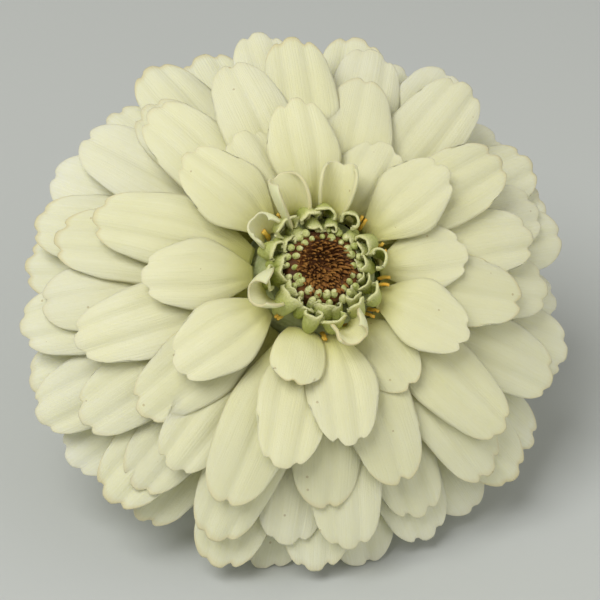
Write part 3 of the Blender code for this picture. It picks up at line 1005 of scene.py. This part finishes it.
def stem_mesh(places):
    """A ribbed stem through places, widening under the bloom, its cut end rounded over and hollowed a little."""
    turns = np.linspace(0.0, 2 * math.pi, STEM_SIDES, endpoint=False)
    shape = 1 + 0.035 * np.cos(STEM_RIBS * turns)
    rings = [(place, heading, 1.0, 0.0) for place, heading in places]
    end, heading = places[-1]
    rings += [(end + heading * 0.05 * MM, heading, 0.96, 0.7), (end, heading, 0.86, 1.0),
              (end - heading * 0.12 * MM, heading, 0.5, 1.0), (end - heading * 0.4 * MM, heading, 0.22, 0.8)]
    points, uvs, values = [], [], {"rib": [], "cut": []}
    for index, (place, heading, scale, cut) in enumerate(rings):
        up = np.cross(heading, ACROSS_STEM)
        share = min(1.0, index / (STEM_ROWS - 1))
        swell = 1 + 0.35 * (1 - fade(share, 0.0, 0.06))
        spread = STEM_RADIUS * scale * swell * shape
        points.append(place + spread[:, None] * (np.cos(turns)[:, None] * ACROSS_STEM
                                                 + np.sin(turns)[:, None] * up))
        uvs.append(np.stack([turns / (2 * math.pi), np.full(STEM_SIDES, 0.9 * share)], axis=-1))
        values["rib"].append((np.cos(STEM_RIBS * turns) + 1) / 2)
        values["cut"].append(np.full(STEM_SIDES, cut))
    index = np.arange(len(rings) * STEM_SIDES).reshape(len(rings), STEM_SIDES)
    after = np.roll(index, -1, axis=1)
    faces = np.stack([index[:-1], after[:-1], after[1:], index[1:]], axis=-1).reshape(-1, 4).tolist()
    faces += [index[0][::-1].tolist(), index[-1].tolist()]
    mesh = bpy.data.meshes.new("stem")
    mesh.from_pydata(to_world(np.concatenate(points)).tolist(), [], faces)
    corners = np.array([corner for face in faces for corner in face])
    mesh.uv_layers.new(name=UV_NAME).data.foreach_set("uv", np.concatenate(uvs)[corners].ravel())
    for key, parts in values.items():
        mesh.attributes.new(key, "FLOAT", "POINT").data.foreach_set("value", np.concatenate(parts))
    bm = bmesh.new()
    bm.from_mesh(mesh)
    bmesh.ops.recalc_face_normals(bm, faces=bm.faces)
    bm.to_mesh(mesh)
    bm.free()
    mesh.shade_smooth()
    return mesh


class ZINNIA_OT_stem(bpy.types.Operator):
    """Draw the ribbed, hairy stem with its cut end"""
    bl_idname = "zinnia.stem"
    bl_label = "Stem"

    def execute(self, context):
        greens = context.scene.zinnia_greens
        places = stem_places(STEM_ROWS)
        finish_piece(add_piece("stem_ribbed", stem_mesh(places), stem_material(greens)), "stem", "stem")
        rng = random.Random(61)
        spots, directions = [], []
        for _ in range(greens.hairs):
            place, heading = places[rng.randrange(2, STEM_ROWS - 2)]
            turn = rng.uniform(0, 2 * math.pi)
            out = math.cos(turn) * ACROSS_STEM + math.sin(turn) * np.cross(heading, ACROSS_STEM)
            spots.append(place + out * STEM_RADIUS * 0.97 + heading * rng.uniform(-0.3, 0.3) * MM)
            directions.append(out + heading * rng.uniform(-0.5, 0.2))
        hair = grained_material("hair_pale", (0.55, 0.62, 0.35), (0.75, 0.78, 0.55), 0.6, 4000.0, 0.02 * MM)
        hairs = scatter("stem_hairs", spots, directions, hair_shape(), hair, size=greens.hair,
                        variation=0.3 * greens.hair)
        finish_piece(hairs, "stem")
        return {"FINISHED"}


VIEW_AZIMUTH = math.radians(-9.0)
VIEW_ELEVATION = math.radians(33.0)
VIEW_DISTANCE = 0.30
VIEW_LENS = 141.0
FACE_HEIGHT = 12.5 * MM  # of the middle of the disc, which the framing is set from
FACE_RIGHT, FACE_UP = 0.037, 0.053  # where it stands from the picture's middle, in picture widths


def aim_camera(context):
    """Places the camera so that the middle of the disc falls where it should in the picture."""
    data = bpy.data.cameras.new("view")
    data.lens = VIEW_LENS
    camera = bpy.data.objects.new("view", data)
    context.scene.collection.objects.link(camera)
    back = Vector((math.sin(VIEW_AZIMUTH) * math.cos(VIEW_ELEVATION),
                   -math.cos(VIEW_AZIMUTH) * math.cos(VIEW_ELEVATION), math.sin(VIEW_ELEVATION)))
    turn = back.to_track_quat("Z", "Y").to_matrix()
    target = Vector(to_world(np.array([0.0, 0.0, FACE_HEIGHT])))
    spread = VIEW_DISTANCE * data.sensor_width / VIEW_LENS
    place = target - turn @ Vector((FACE_RIGHT * spread, FACE_UP * spread, -VIEW_DISTANCE))
    camera.matrix_world = Matrix.Translation(place) @ turn.to_4x4()
    context.scene.camera = camera


def add_light(name, place, target, size, power):
    data = bpy.data.lights.new(name, "AREA")
    data.size, data.energy = size, power
    light = bpy.data.objects.new(name, data)
    light.location = place
    light.rotation_euler = (Vector(place) - Vector(target)).to_track_quat("Z", "Y").to_euler()
    bpy.context.scene.collection.objects.link(light)


class ZINNIA_OT_stage(bpy.types.Operator):
    """Set the floor, the lights and the camera"""
    bl_idname = "zinnia.stage"
    bl_label = "Stage"

    def execute(self, context):
        stage = context.scene.zinnia_stage
        bpy.ops.mesh.primitive_plane_add(size=6.0, location=(0.0, 0.0, 0.0))
        floor = context.active_object
        floor.name = "floor"
        material, tree, shader = start_material("floor_plain", 0.8)
        skin = place_group(tree, "Skin grain", Grain_Scale=900.0, Mottle_Scale=9.0)
        colour = blend_colours(tree, maths(tree, "MULTIPLY", skin.outputs["Mottle"], 0.25), stage.floor,
                               tuple(0.94 * c for c in stage.floor))
        finish_material(tree, shader, colour, skin.outputs["Grain"], 0.02 * MM, strength=0.2)
        floor.data.materials.append(material)
        target = to_world(np.array([0.0, 0.0, 5.0 * MM]))
        add_light("key", (-0.35, -0.35, 0.75), target, 0.5, stage.key)
        add_light("fill", (0.6, -0.5, 0.35), target, 0.8, stage.fill)
        world = bpy.data.worlds.new("soft")
        context.scene.world = world
        world.use_nodes = True
        background = world.node_tree.nodes["Background"]
        background.inputs["Color"].default_value = (1.0, 0.99, 0.96, 1.0)
        background.inputs["Strength"].default_value = 0.35
        aim_camera(context)
        context.scene.view_settings.view_transform = "Standard"
        return {"FINISHED"}


class ZINNIA_PT_panel(bpy.types.Panel):
    """Lists the flower's parts in the sidebar"""
    bl_idname = "ZINNIA_PT_panel"
    bl_label = "Double Zinnia"
    bl_space_type = "VIEW_3D"
    bl_region_type = "UI"
    bl_category = "Zinnia"

    def draw(self, context):
        for operator in OPERATORS:
            self.layout.operator(operator.bl_idname)
        for name in SETTINGS:
            group = getattr(context.scene, name)
            box = self.layout.box()
            for key in group.bl_rna.properties.keys():
                if key not in {"rna_type", "name"}:
                    box.prop(group, key)


SETTINGS = {"zinnia_petals": ZinniaPetals, "zinnia_centre": ZinniaCentre, "zinnia_greens": ZinniaGreens,
            "zinnia_stage": ZinniaStage}
OPERATORS = (ZINNIA_OT_materials, ZINNIA_OT_petals, ZINNIA_OT_curled, ZINNIA_OT_young, ZINNIA_OT_disc,
             ZINNIA_OT_styles, ZINNIA_OT_bracts, ZINNIA_OT_stem, ZINNIA_OT_stage)
CLASSES = (*SETTINGS.values(), *OPERATORS, ZINNIA_PT_panel)


def register():
    for cls in CLASSES:
        bpy.utils.register_class(cls)
    for name, cls in SETTINGS.items():
        setattr(bpy.types.Scene, name, PointerProperty(type=cls))


def unregister():
    for name in SETTINGS:
        delattr(bpy.types.Scene, name)
    for cls in reversed(CLASSES):
        bpy.utils.unregister_class(cls)


def main():
    register()
    bpy.ops.zinnia.materials()
    bpy.ops.zinnia.petals()
    bpy.ops.zinnia.curled()
    bpy.ops.zinnia.young()
    bpy.ops.zinnia.disc()
    bpy.ops.zinnia.styles()
    bpy.ops.zinnia.bracts()
    bpy.ops.zinnia.stem()
    bpy.ops.zinnia.stage()


if __name__ == "__main__":
    main()
